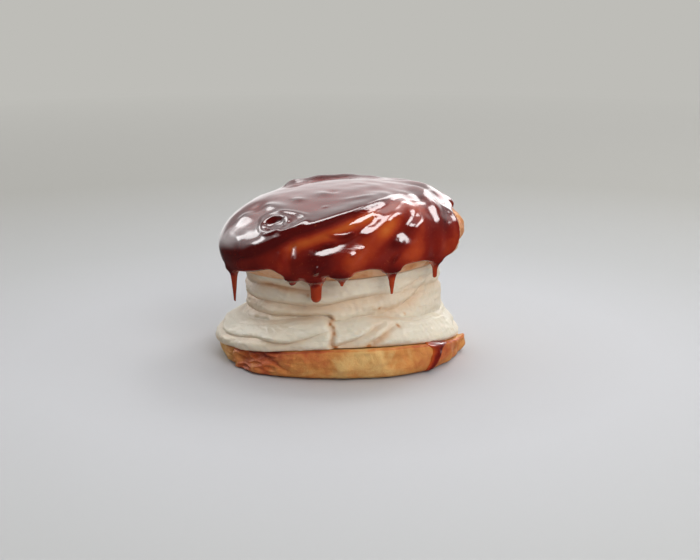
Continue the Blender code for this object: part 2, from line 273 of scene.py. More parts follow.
def front_face(angle):
    """1 on the front of the lid, where the glaze has folds of its own."""
    degrees = np.degrees(wrapped(angle))
    return eased((degrees + 166) / 14) * eased((-24 - degrees) / 14)


def ridge_reach(angle, place):
    """Where the ridges are: outside the coil, and lower at the back and at the seat."""
    radius, _ = dome_profile(place)
    behind = bell(angle, 115, 75)
    toward_rim = eased((radius - coil_edge_radius(angle)) / (7 + 12 * behind))
    at_seat = eased((place - 0.88) / 0.12)
    return toward_rim * (1 - 0.3 * behind) * (1 - 0.75 * at_seat) * (1 - front_face(angle))


def below_lip(angle, place):
    """How far down the slope a point lies from the edge of the coil, in mm."""
    at_left = 1.9 * bell(angle, -148, 24)
    return arc_at(place) - arc_at_radius(coil_edge_radius(angle)) - at_left


def glaze_lip(angle, place):
    """Where the glaze turns over the edge of the coil: a slow rise and a quick fall."""
    down = below_lip(angle, place)
    share = np.where(down < 0, hill(down, GLAZE_LIP_RISE), 1 - eased(down / GLAZE_LIP_FALL))
    return GLAZE_LIP * share * bell(angle, -108, 60, 4)


def front_hollow(angle, place):
    """The face under the coil's edge is steeper than the dome."""
    depth, middle, half = GLAZE_HOLLOW
    _, height = dome_profile(place)
    under_lip = eased(below_lip(angle, place) / 3 + 0.3)
    return depth * hill(height - middle, half) * bell(angle, -82, 37, 4) * under_lip


def lid_relief(angle, place):
    crest = ridge_share(angle, place, 0.12) - 0.6
    ridges = RIDGE_HEIGHT * crest * ridge_reach(angle, place)
    return ridges - LID_SINK * eased((0.9 - place) / 0.2) - front_hollow(angle, place)


glaze_edge_height = round_curve(GLAZE_EDGE, 1.6)

SECTION_PLACES = np.linspace(0, 1, 700)
GIRTH_ROW = np.searchsorted(SECTION_PLACES, GIRTH_PLACE)  # the section grows wider down to this row
SECTION_RADII, SECTION_HEIGHTS = dome_profile(SECTION_PLACES)
SECTION_STEPS = np.hypot(np.diff(SECTION_RADII), np.diff(SECTION_HEIGHTS))
SECTION_ARC = np.concatenate([[0], np.cumsum(SECTION_STEPS)])
SECTION_SKIN = SECTION_HEIGHTS + 2.0 * dome_normal(SECTION_PLACES)[1]  # heights 2 mm out


def arc_at(place):
    """How far down the section a place is, in mm."""
    return np.interp(place, SECTION_PLACES, SECTION_ARC)


def arc_at_radius(radius):
    """The same for a radius on the upper part of the dome."""
    return np.interp(radius, SECTION_RADII[:GIRTH_ROW], SECTION_ARC[:GIRTH_ROW])


def arc_at_skin(height):
    """The same for a height on the glaze."""
    return np.interp(-height, -SECTION_SKIN, SECTION_ARC)


# Folds in the front of the glaze: (degrees, height) points, mm of rise, half width in mm, and
# how much thinner the caramel looks there
GLAZE_FOLDS = (
    (((-118.8, 43.5), (-117.8, 39.4), (-118.9, 34.5)), 0.5, 1.8, 0.6),
    (((-112.4, 43.1), (-104.2, 44.2), (-92.8, 46.3), (-79.9, 48.2), (-71.5, 49.5)), 0.2, 2.0, 1.5),
    (((-85.2, 35.6), (-80.8, 40.0), (-73.7, 44.2), (-63.3, 48.1), (-48.3, 50.5)), 0.9, 2.8, 1.5),
    (((-57.4, 34.9), (-54.8, 38.9), (-51.2, 43.1), (-42.9, 47.8), (-37.5, 49.7)), 0.5, 2.2, 1.1),
    (((-30.7, 36.0), (-27.1, 42.2), (-19.2, 46.8)), 0.3, 2.4, 0.6),
    (((-113.8, 42.8), (-113.3, 38.9), (-113.3, 33.7)), -0.6, 1.3, -0.6),
    (((-70.4, 48.5), (-77.4, 46.9), (-85.7, 45.0), (-92.6, 43.5), (-99.0, 41.2)), -0.5, 1.6, -0.8),
    (((-47.2, 47.6), (-53.6, 45.5), (-62.5, 42.8), (-69.3, 39.2), (-75.7, 36.5)), -0.6, 2.2, -0.6),
    (((-32.6, 47.3), (-40.5, 42.4), (-44.2, 36.3)), -0.3, 2.2, -0.7),
)

# Lumps and dents that the glaze runs over: degrees, radius in mm, half size round and half
# size down the slope in mm, height in mm
GLAZE_LUMPS = (
    (-118.5, 31.6, 1.5, 1.2, -0.5),
    (-156, 31.6, 3.4, 2.3, 0.65),
    (-143, 36.0, 3.4, 1.6, 0.35),
    (-143, 25.5, 5.5, 2.2, 0.9),
    (-158, 27.0, 4.0, 3.0, -0.4),
    (-130.6, 19.8, 2.4, 1.5, 0.45),
    (-101, 24.0, 0.9, 0.8, 0.25),
    (-112, 30.0, 4.0, 1.4, -0.3),
    (-128, 27.0, 5.0, 2.0, 0.35),
    (-110, 14.0, 3.2, 2.4, 0.55),
    (-104, 12.0, 2.0, 1.8, -0.35),
    (-75, 19.8, 5.0, 1.6, 0.45),
    (137, 21.0, 4.0, 2.0, 1.5),
    (113, 20.5, 6.5, 1.9, 1.6),
    (86, 20.0, 6.5, 1.9, 1.2),
    (62, 19.0, 5.0, 1.9, 0.6),
    (116, 16.0, 8.0, 2.0, -0.7),
)
CRATER = (-127, 32.0, 3.1, 2.7)  # a burst bubble
CRATER_SWELL = (-123.5, 31.0, 7.6, 4.2)  # the ring round it
CRATER_DEPTH = 1.25
CRATER_RIM = 0.45
CRATER_SWELL_RISE = 0.5
# Pools that lie in the folds: degrees, height, half sizes along and across, degrees of slant, rise
GLAZE_POOLS = (
    (-52.4, 45.2, 2.6, 1.7, 20, 0.6),
    (-62.4, 42.0, 3.7, 2.2, 30, 1.05),
    (-65.6, 36.8, 2.0, 0.65, 35, 0.8),
    (-99.9, 35.4, 1.6, 0.65, 40, 0.8),
    (-84.5, 39.2, 0.7, 0.5, 30, 0.35),
    (-80.5, 41.0, 0.6, 0.45, 30, 0.3),
    (-116.5, 44.0, 1.6, 0.8, 25, 0.5),
    (-100.0, 37.7, 6.0, 3.6, 0, 0.80),
)


def lump(angle, place, degrees, at_radius, half_round, half_down):
    """How far a point lies from a spot of the lid's surface: 1 at these half sizes."""
    radius, _ = dome_profile(place)
    turn = turn_from(angle, degrees)
    across = np.maximum(radius, 1) * turn / half_round
    down = (arc_at(place) - arc_at_radius(at_radius)) / half_down
    return np.hypot(across, down)


def pool(angle, place, degrees, height, half_along, half_across, slant):
    """The same for a slanting spot given by its height."""
    radius, _ = dome_profile(place)
    across = radius * turn_from(angle, degrees)
    down = arc_at(place) - arc_at_skin(height)
    cosine, sine = math.cos(math.radians(slant)), math.sin(math.radians(slant))
    along = (across * cosine - down * sine) / half_along
    return np.hypot(along, (across * sine + down * cosine) / half_across)


def fold_share(angle, place, points, half_width):
    """1 on a fold's line and 0 away from it."""
    radius, _ = dome_profile(place)
    arc = arc_at(place)
    nearest = np.full(np.shape(arc), 1e3)
    for (first_degrees, first_height), (last_degrees, last_height) in zip(points, points[1:]):
        x = radius * wrapped(math.radians(first_degrees) - angle)
        y = arc_at_skin(first_height) - arc
        along = radius * math.radians(last_degrees - first_degrees)
        down = arc_at_skin(last_height) - arc_at_skin(first_height)
        share = np.clip(-(x * along + y * down) / (along**2 + down**2 + 1e-9), 0, 1)
        nearest = np.minimum(nearest, np.hypot(x + share * along, y + share * down))
    return hill(nearest, half_width)


def glaze_relief(angle, place):
    """How far the glaze's skin is out from the dome."""
    crest = ridge_share(angle, place, 0.5) - 0.6
    reach = ridge_reach(angle, place)
    ridges = (RIDGE_HEIGHT - GLAZE_VALLEY_FILL) * crest * reach
    radius, height = dome_profile(place)
    bead = GLAZE_BEAD * hill(height - glaze_edge_height(angle), 2.5)
    thinned = 1 - 0.5 * bell(angle, -3, 22) * eased((50 - height) / 4)
    film = (GLAZE_FILM + 0.5 * GLAZE_VALLEY_FILL * reach + bead) * thinned
    relief = ridges + glaze_lip(angle, place) + film - front_hollow(angle, place)
    for *where, rise in GLAZE_LUMPS:
        relief = relief + rise * hill(lump(angle, place, *where), 1)
    for points, rise, half_width, _ in GLAZE_FOLDS:
        relief = relief + rise * fold_share(angle, place, points, half_width)
    for *where, rise in GLAZE_POOLS:
        relief = relief + rise * hill(pool(angle, place, *where), 1)
    shoulder = bell(angle, -25, 38) * eased((height - 42) / 4)
    ripples = grain(cylindrical(radius, angle, height), 3.6, 91)
    relief = relief + (0.03 + 0.13 * shoulder) * ripples
    away = lump(angle, place, *CRATER)
    relief = relief - CRATER_DEPTH * np.exp(-away**4) + CRATER_RIM * hill(away - 1.35, 0.35)
    relief = relief + CRATER_SWELL_RISE * hill(lump(angle, place, *CRATER_SWELL) - 1, 0.2)
    least = lid_relief(angle, place) + GAP + GLAZE_LEAST
    return np.where(height > 37, smooth_max(relief, least, 0.3), relief)


def nearest_on_section():
    """For radii and heights: the place on the lid's section nearest to them, and how far out."""
    radii = np.arange(0, 46, 0.3)
    heights = np.arange(14, 60, 0.3)
    tail_heights = np.arange(LID_SEAT_HEIGHT - 0.5, 12, -0.5)
    tail_radii = np.full(len(tail_heights), SECTION_RADII[-1])
    line_radius = np.concatenate([SECTION_RADII, tail_radii])
    line_height = np.concatenate([SECTION_HEIGHTS, tail_heights])
    line_place = np.concatenate([SECTION_PLACES, np.ones(len(tail_heights))])
    out_radius, out_height = dome_normal(line_place)
    out_radius[len(SECTION_PLACES):], out_height[len(SECTION_PLACES):] = 1, 0
    place = np.zeros((len(radii), len(heights)))
    distance = np.zeros_like(place)
    for i, radius in enumerate(radii):
        apart = np.hypot(radius - line_radius, heights[:, None] - line_height)
        near = np.argmin(apart, axis=1)
        place[i] = line_place[near]
        side = (radius - line_radius[near]) * out_radius[near]
        side = side + (heights - line_height[near]) * out_height[near]
        distance[i] = np.where(side > 0, 1, -1) * apart[np.arange(len(heights)), near]
    return radii, heights, place, distance


NEAREST = nearest_on_section()


def near_section(radius, height):
    """The place on the section nearest to points, and how far out they are."""
    radii, heights, place, distance = NEAREST
    across = np.clip((radius - radii[0]) / (radii[1] - radii[0]), 0, len(radii) - 1.001)
    up = np.clip((height - heights[0]) / (heights[1] - heights[0]), 0, len(heights) - 1.001)
    i, j = across.astype(int), up.astype(int)
    s, t = across - i, up - j
    found = []
    for table in (place, distance):
        low = table[i, j] * (1 - s) + table[i + 1, j] * s
        high = table[i, j + 1] * (1 - s) + table[i + 1, j + 1] * s
        found.append(low * (1 - t) + high * t)
    return found


def drip_field(points, lean_free, degrees, drop, root, tip):
    """About how far points are outside one drip."""
    angle = math.radians(degrees)
    column = np.array([angle])
    edge = glaze_edge_height(column)
    place = place_at_height(edge)
    section_radius, _ = dome_profile(place)
    centre = section_radius[0] + lid_relief(column, place)[0] + 2 * GAP + 0.45 * root
    outward = points[:, 0] * math.cos(angle) + points[:, 1] * math.sin(angle) - centre
    sideways = points[:, 1] * math.cos(angle) - points[:, 0] * math.sin(angle)
    below = edge[0] - lean_free
    straight = drop - tip
    held = np.clip(below, 0, straight)
    width = root + (tip - root) * (held / straight) ** 0.8 + DRIP_FLARE * np.exp(-held / 0.9)
    width = width * np.sqrt(1 - np.clip(-below / DRIP_HEAD, 0, 1) ** 2)
    depth = outward / np.where(outward > 0, *DRIP_FLATNESS)
    past = np.maximum(below - straight, 0) + np.maximum(-below - DRIP_HEAD, 0)
    return np.hypot(np.hypot(sideways, depth), past) - width


# Beads of thick caramel: degrees, height, half length and half width in mm, degrees of slant, and
# the direction that the flat top faces
GLAZE_BEADS = (
    (-90.3, 46.3, 4.3, 1.7, 5, -92),
    (-96.5, 43.9, 2.6, 1.2, 0, -94),
    (-76.0, 46.1, 2.6, 1.5, 28, -90),
)
BEAD_TILT = 52.0  # degrees by which the top faces up
BEAD_ROUNDING = 0.7
BEAD_WEB = 0.5  # how softly it runs into the skin
BEAD_TURN = 0.35  # no bead reaches further to the side, in radians
BEAD_HEIGHTS = 8  # or further up or down


def bead_field(points, degrees, height, half_long, half_wide, slant, facing):
    """A flat-topped bead that sits on the glaze's skin."""
    angle = np.radians([degrees])
    place = np.interp([arc_at_skin(height)], SECTION_ARC, SECTION_PLACES)
    away = points - raised(angle, place, glaze_relief(angle, place))[0]
    way, tilt, slant = np.radians([facing, BEAD_TILT, slant])
    normal = cylindrical(math.cos(tilt), way, math.sin(tilt))
    across = cylindrical(1, way + math.pi / 2, 0)
    u, v = away @ across, away @ np.cross(normal, across)
    along = u * math.cos(slant) + v * math.sin(slant)
    beside = v * math.cos(slant) - u * math.sin(slant)
    rim = (np.hypot(along / half_long, beside / half_wide) - 1) * half_wide
    return smooth_max(away @ normal, rim, BEAD_ROUNDING)


def glaze_field(points):
    """Negative inside the glaze and positive outside it."""
    radius, angle, lean_free = without_lean(points)
    place, distance = near_section(radius, lean_free)
    outer = distance - glaze_relief(angle, place)
    inner = lid_relief(angle, place) + GAP - distance
    edge = glaze_edge_height(angle) - lean_free
    body = smooth_max(outer, edge, 1.6)
    for drip in DRIPS:
        near = (np.abs(turn_from(angle, drip[0])) < DRIP_TURN) & (lean_free < DRIPS_BELOW)
        found = drip_field(points[near], lean_free[near], *drip)
        body[near] = smooth_min(body[near], found, DRIP_WEB)
    for bead in GLAZE_BEADS:
        near = np.abs(turn_from(angle, bead[0])) < BEAD_TURN
        near &= np.abs(lean_free - bead[1]) < BEAD_HEIGHTS
        body[near] = smooth_min(body[near], bead_field(points[near], *bead), BEAD_WEB)
    return smooth_max(body, inner, 0.2)


def surface_net(field, start, step):
    """One vertex in each grid cell that the surface crosses, and a quad for each crossed edge."""
    inside = field < 0
    unit = np.eye(3, dtype=int)
    corners = np.array(list(np.ndindex(2, 2, 2)))
    shape = np.array(field.shape) - 1
    count = np.zeros(shape, int)
    for i, j, k in corners:
        count += inside[i:i + shape[0], j:j + shape[1], k:k + shape[2]]
    cells = np.argwhere((count > 0) & (count < 8))
    number = np.full(shape, -1)
    number[tuple(cells.T)] = np.arange(len(cells))
    total, hits = np.zeros((len(cells), 3)), np.zeros(len(cells))
    for corner in corners:
        for axis in np.flatnonzero(corner == 0):
            near = field[tuple((cells + corner).T)]
            far = field[tuple((cells + corner + unit[axis]).T)]
            cut = (near < 0) != (far < 0)
            share = near / np.where(cut, near - far, 1)
            total += cut[:, None] * (corner + share[:, None] * unit[axis])
            hits += cut
    vertices = start + step * (cells + total / hits[:, None])
    faces = []
    for axis in range(3):
        edges = np.argwhere(np.diff(inside, axis=axis))
        u, v = unit[(axis + 1) % 3], unit[(axis + 2) % 3]
        quad = np.stack([number[tuple((edges - back).T)] for back in (u + v, v, 0 * u, u)], axis=1)
        from_inside = inside[tuple(edges.T)]
        faces.append(np.where(from_inside[:, None], quad, quad[:, ::-1]))
    return vertices, np.concatenate(faces)


def gradient(points, field, step=0.12):
    slopes = []
    for axis in range(3):
        shift = np.zeros(3)
        shift[axis] = step
        slopes.append((field(points + shift) - field(points - shift)) / (2 * step))
    return np.stack(slopes, axis=1)


def settled(vertices, field, rounds=2):
    """Vertices moved onto the field's surface, and the surface's normals there."""
    for _ in range(rounds):
        slope = gradient(vertices, field)
        length = np.maximum(np.sum(slope**2, axis=1), 0.05)
        move = field(vertices) / length
        move = np.clip(move, -0.4 * GLAZE_STEP, 0.4 * GLAZE_STEP)
        vertices = vertices - slope * move[:, None]
    slope = gradient(vertices, field)
    return vertices, slope / np.linalg.norm(slope, axis=1)[:, None]


def new_object(name, data):
    made = bpy.data.objects.new(name, data)
    bpy.context.scene.collection.objects.link(made)
    return made


def new_piece(name, vertices, faces, material, values, node=None, normals=None):
    """A smooth mesh in metres, with named values at its vertices, that may stand for a CAD node."""
    mesh = bpy.data.meshes.new(name)
    mesh.from_pydata((vertices * MM).tolist(), [], [list(map(int, face)) for face in faces])
    mesh.validate()
    mesh.shade_smooth()
    for label, numbers in values.items():
        mesh.attributes.new(label, "FLOAT", "POINT").data.foreach_set("value", numbers)
    if normals is not None:
        mesh.normals_split_custom_set_from_vertices(normals.tolist())
    mesh.materials.append(material)
    piece = new_object(name, mesh)
    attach(piece, "root")
    if node:
        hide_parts(node)
    return piece


def flattened(rings):
    """Rings of points or values as one row; the first and the last ring are single points."""
    return np.concatenate([rings[:1, 0], *rings[1:-1], rings[-1:, 0]])


def closed_faces(count, columns):
    """The faces of a closed form that is made of this many rings."""
    rows = 1 + np.arange((count - 2) * columns).reshape(count - 2, columns)
    last = 1 + rows.size
    faces = [(0, a, b) for a, b in zip(rows[0], np.roll(rows[0], -1))]
    for here, there in zip(rows, rows[1:]):
        faces += zip(here, there, np.roll(there, -1), np.roll(here, -1))
    faces += [(last, b, a) for a, b in zip(rows[-1], np.roll(rows[-1], -1))]
    return faces


def ring_piece(name, rings, material, slot, label, values):
    """A closed piece from rings of points, each with a value. Its node has its slot's name."""
    faces = closed_faces(*rings.shape[:2])
    return new_piece(name, flattened(rings), faces, material, {label: flattened(values)}, node=slot)


# Materials
def new_material(name):
    material = bpy.data.materials.new(name)
    material.use_nodes = True
    return material, material.node_tree, material.node_tree.nodes["Principled BSDF"]


def plug(tree, value, socket):
    """Link another socket, or set a number or a colour."""
    if isinstance(value, bpy.types.NodeSocket):
        tree.links.new(value, socket)
    else:
        socket.default_value = value


def fill_in(tree, node, **settings):
    """Set a node up; names in capitals are its inputs, and they take links too."""
    for key, value in settings.items():
        if key[0].isupper():
            plug(tree, value, node.inputs[key.replace("_", " ")])
        else:
            setattr(node, key, value)
    return node


def add_node(tree, kind, *values, **settings):
    """A new node; the values go into its inputs in order."""
    made = fill_in(tree, tree.nodes.new(kind), **settings)
    for value, socket in zip(values, made.inputs):
        plug(tree, value, socket)
    return made


def linear(red, green, blue):
    """A colour as it is seen, 0 to 255, as a linear one."""
    def one(c):
        c = c / 255
        return c / 12.92 if c <= 0.04045 else ((c + 0.055) / 1.055) ** 2.4
    return (one(red), one(green), one(blue), 1.0)


def noise(tree, scale_mm, detail=3.0, rough=0.55, distortion=0.0, stretch=(1, 1, 1)):
    place = add_node(tree, "ShaderNodeTexCoord").outputs["Object"]
    mapped = add_node(tree, "ShaderNodeMapping", Vector=place, Scale=stretch).outputs["Vector"]
    made = add_node(tree, "ShaderNodeTexNoise", Vector=mapped, Scale=1 / (scale_mm * MM),
                    Detail=detail, Roughness=rough, Distortion=distortion)
    return made.outputs["Fac"]


def ramp(tree, value, stops):
    made = add_node(tree, "ShaderNodeValToRGB")
    elements = made.color_ramp.elements
    for k, (at, colour) in enumerate(stops):
        element = elements[k] if k < 2 else elements.new(at)
        element.position = at
        element.color = colour
    tree.links.new(value, made.inputs["Fac"])
    return made.outputs["Color"]


def maths(tree, kind, *values):
    return add_node(tree, "ShaderNodeMath", *values, operation=kind).outputs[0]


def sum_of(tree, *terms):
    """The sum of (socket, factor) terms; a bare number is a constant."""
    total = 0.0
    for term in terms:
        value, factor = (term, 1.0) if isinstance(term, (int, float)) else term
        total = maths(tree, "MULTIPLY_ADD", value, factor, total)
    return total


def mixed(tree, share, first, second):
    """Two colours mixed; a colour mix node has its sockets for colours at 6 and 7."""
    made = add_node(tree, "ShaderNodeMix", data_type="RGBA")
    for number, value in ((0, share), (6, first), (7, second)):
        plug(tree, value, made.inputs[number])
    return made.outputs[2]


def attribute(tree, name):
    return add_node(tree, "ShaderNodeAttribute", attribute_name=name).outputs["Fac"]


def grey_ramp(tree, value, low, high):
    return ramp(tree, value, ((low, (0, 0, 0, 1)), (high, (1, 1, 1, 1))))


def bump(tree, height, distance_mm):
    made = add_node(tree, "ShaderNodeBump", Strength=1.0, Distance=distance_mm * MM, Height=height)
    return made.outputs["Normal"]


def caramel_material():
    material, tree, shader = new_material("caramel")
    cloudy = noise(tree, 7, 2, 0.5)
    fine = noise(tree, 1.1, 3, 0.6)
    # This value also carries painted shade and dark reflection in the crater.
    thickness_and_shade = attribute(tree, "thickness_and_shade")
    depth = sum_of(tree, (thickness_and_shade, 0.25), (cloudy, 0.26), (fine, 0.06), -0.12)
    colour = ramp(tree, depth, (
        (0.04, linear(206, 122, 62)),
        (0.18, linear(186, 88, 38)),
        (0.32, linear(164, 58, 26)),
        (0.48, linear(124, 28, 16)),
        (0.70, linear(84, 12, 10)),
    ))
    thin = grey_ramp(tree, depth, 0.30, 0.12)
    speck = grey_ramp(tree, noise(tree, 0.55, 1, 0.5), 0.68, 0.76)
    colour = mixed(tree, sum_of(tree, (speck, 0.25)), colour, linear(190, 96, 50))
    fill_in(tree, shader, Base_Color=colour, IOR=1.75, Roughness=sum_of(tree, (thin, 0.12), 0.02),
            Normal=bump(tree, noise(tree, 4.5, 1.5, 0.5), 0.06),
            Subsurface_Weight=0.12, Subsurface_Radius=(1.0, 0.25, 0.1), Subsurface_Scale=2.0 * MM)
    return material


# Crust from pale to dark, as it is seen
BASE_COLOURS = ((226, 182, 116), (212, 142, 74), (188, 94, 48), (138, 52, 32))
LID_COLOURS = ((224, 178, 140), (214, 150, 98), (184, 106, 62), (130, 66, 44))


def choux_material(name, *colours):
    """Baked crust in four colours, from pale to dark, after how browned it is and the shade painted into
    its dents and creases.
    """
    material, tree, shader = new_material(name)
    broad = noise(tree, 9, 3, 0.6, 0.6)
    crust = noise(tree, 2.2, 5, 0.65, 0.4)
    fine = noise(tree, 0.5, 3, 0.6)
    browning_and_shade = attribute(tree, "browning_and_shade")
    depth = sum_of(tree, (browning_and_shade, 0.55), (broad, 0.72), (crust, 0.36), (fine, 0.10), -0.52)
    stops = zip((0.12, 0.34, 0.58, 0.85), (linear(*colour) for colour in colours))
    colour = ramp(tree, depth, stops)
    fill_in(tree, shader, Base_Color=colour, Roughness=sum_of(tree, (crust, 0.3), 0.36),
            Normal=bump(tree, sum_of(tree, (crust, 1.0), (fine, 0.35)), 0.45),
            Subsurface_Weight=0.15, Subsurface_Radius=(1.0, 0.5, 0.2), Subsurface_Scale=1.5 * MM)
    return material


def cream_material():
    material, tree, shader = new_material("cream")
    cloudy = noise(tree, 6, 3, 0.6)
    streaks = noise(tree, 1.4, 3, 0.6, 0.3, (0.35, 0.35, 2.2))
    # This value carries painted shade in the creases and over the upper tier, a painted shadow in the top
    # crease, and the cream's own tan and specks.
    tan_and_shade = attribute(tree, "tan_and_shade")
    depth = sum_of(tree, (tan_and_shade, 0.8), (cloudy, 0.22), (streaks, 0.10), -0.08)
    colour = ramp(tree, depth, (
        (0.0, linear(225, 221, 204)),
        (0.25, linear(224, 213, 193)),
        (0.55, linear(217, 188, 157)),
        (0.95, linear(186, 128, 80)),
    ))
    height = sum_of(tree, (streaks, 1.0), (noise(tree, 0.7, 2, 0.5), 0.35))
    fill_in(tree, shader, Base_Color=colour, Roughness=0.42, Normal=bump(tree, height, 0.25),
            Subsurface_Weight=0.35, Subsurface_Radius=(1.0, 0.75, 0.5), Subsurface_Scale=2.5 * MM)
    return material


# Base
# How much browner or paler the side is than usual: direction, width, amount
BASE_BROWNING = ((-168, 16, -0.45), (-34, 26, 0.38), (-80, 18, -0.20), (-104, 12, 0.14))


def base_rim_height(angle):
    ends = 0.9 * bell(angle, 180, 50) + 2.0 * bell(angle, 0, 21)
    return BASE_RIM_HEIGHT + BASE_FRONT_RISE * bell(angle, -75, 58) - ends + 0.4 * waver(angle, 3)


def base_top_height(radius, angle):
    """The top is flat in the middle and falls to the rim."""
    outward = (radius / BASE_RIM_RADIUS - BASE_FLAT_SHARE) / (1 - BASE_FLAT_SHARE)
    return BASE_MIDDLE_HEIGHT + (base_rim_height(angle) - BASE_MIDDLE_HEIGHT) * np.maximum(outward, 0)


def base_rings(angle, fold, top_rows, side_rows, under_rows):
    """The base from the middle of its top over the rim to the middle of its underside."""
    flake = bell(angle, FLAKE_ANGLE, FLAKE_WIDTH)
    rim_height = base_rim_height(angle) + FLAKE_RISE * flake
    flat = BASE_FRONT_FLAT * bell(angle, -88, 30)
    rim = BASE_RIM_RADIUS + 0.5 * waver(angle, 5, (3, 7, 11, 17)) - 0.5 * flat + FLAKE_REACH * flake
    foot = BASE_FOOT_RADIUS + 0.8 * waver(angle, 6, (3, 5, 7)) + BASE_FOLD_REACH * fold - flat
    rings = [cylindrical(0, angle, BASE_MIDDLE_HEIGHT)]
    for share in np.linspace(0, 1, top_rows, endpoint=False)[1:]:
        rings.append(cylindrical(rim * share, angle, base_top_height(rim * share, angle)))
    for down in np.linspace(0, 1, side_rows):
        side = foot + (rim - foot) * math.sqrt(1 - down**2.4)
        lumps = waver(angle + 0.5 * down, 7, (5, 9, 14)) * math.sin(math.pi * down)
        rounding = 0.9 * (1 - math.sqrt(1 - max(0, 1 - down / 0.12) ** 2))
        under = BASE_UNDERCUT * max(0, (down - 0.86) / 0.14) ** 2
        radius = side + 0.7 * lumps - rounding - under
        rings.append(cylindrical(radius, angle, rim_height * (1 - down)))
    for share in np.linspace(1, 0, under_rows)[1:]:
        rings.append(cylindrical((foot - BASE_UNDERCUT) * share, angle, 0))
    return np.array(rings)


def make_base(material):
    columns, top_rows, side_rows, under_rows = 480, 12, 56, 8
    angle = around(columns)
    fold = bell(angle, BASE_FOLD_ANGLE, 20)
    rings = base_rings(angle, fold, top_rows, side_rows, under_rows)
    row = np.arange(len(rings))[:, None]
    down = np.clip((row - top_rows) / (side_rows - 1), 0, 1)
    on_side = (row >= top_rows) & (row < top_rows + side_rows)
    outside = on_side * np.sin((0.25 + 0.75 * down) * math.pi * 0.98) ** 0.5
    # crags, creases and blisters, strongest in the fold at the left
    craggy = 0.30 * grain(rings, 3.8, 61) + 0.10 * grain(rings, 1.5, 62)
    wrinkle = -np.abs(grain(rings * (1, 1, 2.2), 3.2, 63)) * fold
    degrees, height, slope = FOLD_CREASE
    crease_height = height + slope * np.degrees(turn_from(angle, degrees))
    crease = hill(rings[:, :, 2] - crease_height, 0.8) * bell(angle, -126, 15)
    left_edge = 1.3 * bell(angle, FOLD_LEFT_EDGE, 1.8) - 0.9 * bell(angle, FOLD_LEFT_EDGE + 5, 4)
    amount = (craggy + 0.9 * wrinkle - crease - left_edge) * outside
    rings = rings + amount[:, :, None] * cylindrical(1, angle, 0)
    # Painted shade: the crust is drawn darker in its dents and in the crease of the fold.
    browning_and_shade = 0.40 + 0.52 * fold + 0.25 * np.clip(-craggy, -1, 1) + 0.25 * crease
    for where, width, browner in BASE_BROWNING:
        browning_and_shade = browning_and_shade + browner * bell(angle, where, width)
    below_rim = on_side & (down > 0)
    browning_and_shade = browning_and_shade + 0.25 * (below_rim & (down < 0.06))
    browning_and_shade = browning_and_shade + 0.35 * below_rim * bell(angle, -118, 24) * hill(down, 0.3)
    browning_and_shade = browning_and_shade - 0.5 * (row < top_rows)
    return ring_piece("base_crust", rings, material, "base_choux", "browning_and_shade", browning_and_shade)


# Caramel that ran down the base: share of the way down the side, direction, half width in degrees
# and mm of thickness
RUN = (
    (-0.14, -39.0, 7.6, 0.5), (0.02, -39.0, 7.2, 0.8), (0.14, -40.0, 4.6, 0.8),
    (0.40, -41.2, 3.6, 0.7), (0.75, -43.2, 2.9, 0.7), (0.93, -44.4, 2.4, 0.8), (1.0, -44.8, 1.4, 0.5),
)
RUN_SINK = 0.35  # how far it reaches into the base
RUN_LOWEST = 0.35  # it ends at this height
RUN_TOP = 0.04  # above this share of the way down it bends over the rim


def run_ring(surface, down, columns):
    """One row of the run: its outer side from left to right, then its inner side back."""
    shares, *tables = np.array(RUN).T
    degrees, half, thick = (np.interp(down, shares, table) for table in tables)
    half = half * (1 + 0.10 * math.sin(17 * down + 1))
    end = math.sin(math.pi / 2 * min((down - shares[0]) / 0.10, 1))
    end = end * math.sin(math.pi / 2 * min((shares[-1] - down) / 0.08, 1))
    above = max(RUN_TOP - down, 0)
    outer, inner = [], []
    for side in np.linspace(-1, 1, columns):
        turn = math.radians(degrees + half * side * (0.25 + 0.75 * end))
        height = (1 - max(down, RUN_TOP)) * base_rim_height(turn)
        out = Vector((math.cos(turn), math.sin(turn), 0.0))
        start = out * 60 + Vector((0, 0, max(height, RUN_LOWEST)))
        place = surface.ray_cast(start * MM, -out)[0] / MM
        place = place + Vector((0, 0, 9 * above)) - out * (16 * above)
        bulge = thick * end * math.sqrt(1 - side**2)
        outer.append(place + out * (0.05 + bulge))
        inner.append(place - out * RUN_SINK)
    return outer + inner[::-1]


def make_caramel_run(base, material):
    """A closed skin over the base's side, thickest in the middle."""
    rows, columns = 46, 17
    surface = BVHTree.FromObject(base, bpy.context.evaluated_depsgraph_get())
    rings = [run_ring(surface, down, columns) for down in np.linspace(RUN[0][0], RUN[-1][0], rows)]
    number = np.arange(rows * 2 * columns).reshape(rows, 2 * columns)
    faces = [number[0][::-1], number[-1]]
    for here, there in zip(number, number[1:]):
        faces += zip(here, np.roll(here, -1), np.roll(there, -1), there)
    across = np.concatenate([1.9 - 1.3 * np.linspace(-1, 1, columns) ** 2, np.ones(columns)])
    vertices = np.array(rings).reshape(-1, 3)
    return new_piece("caramel_run", vertices, faces, material,
                     {"thickness_and_shade": np.tile(across, rows)})


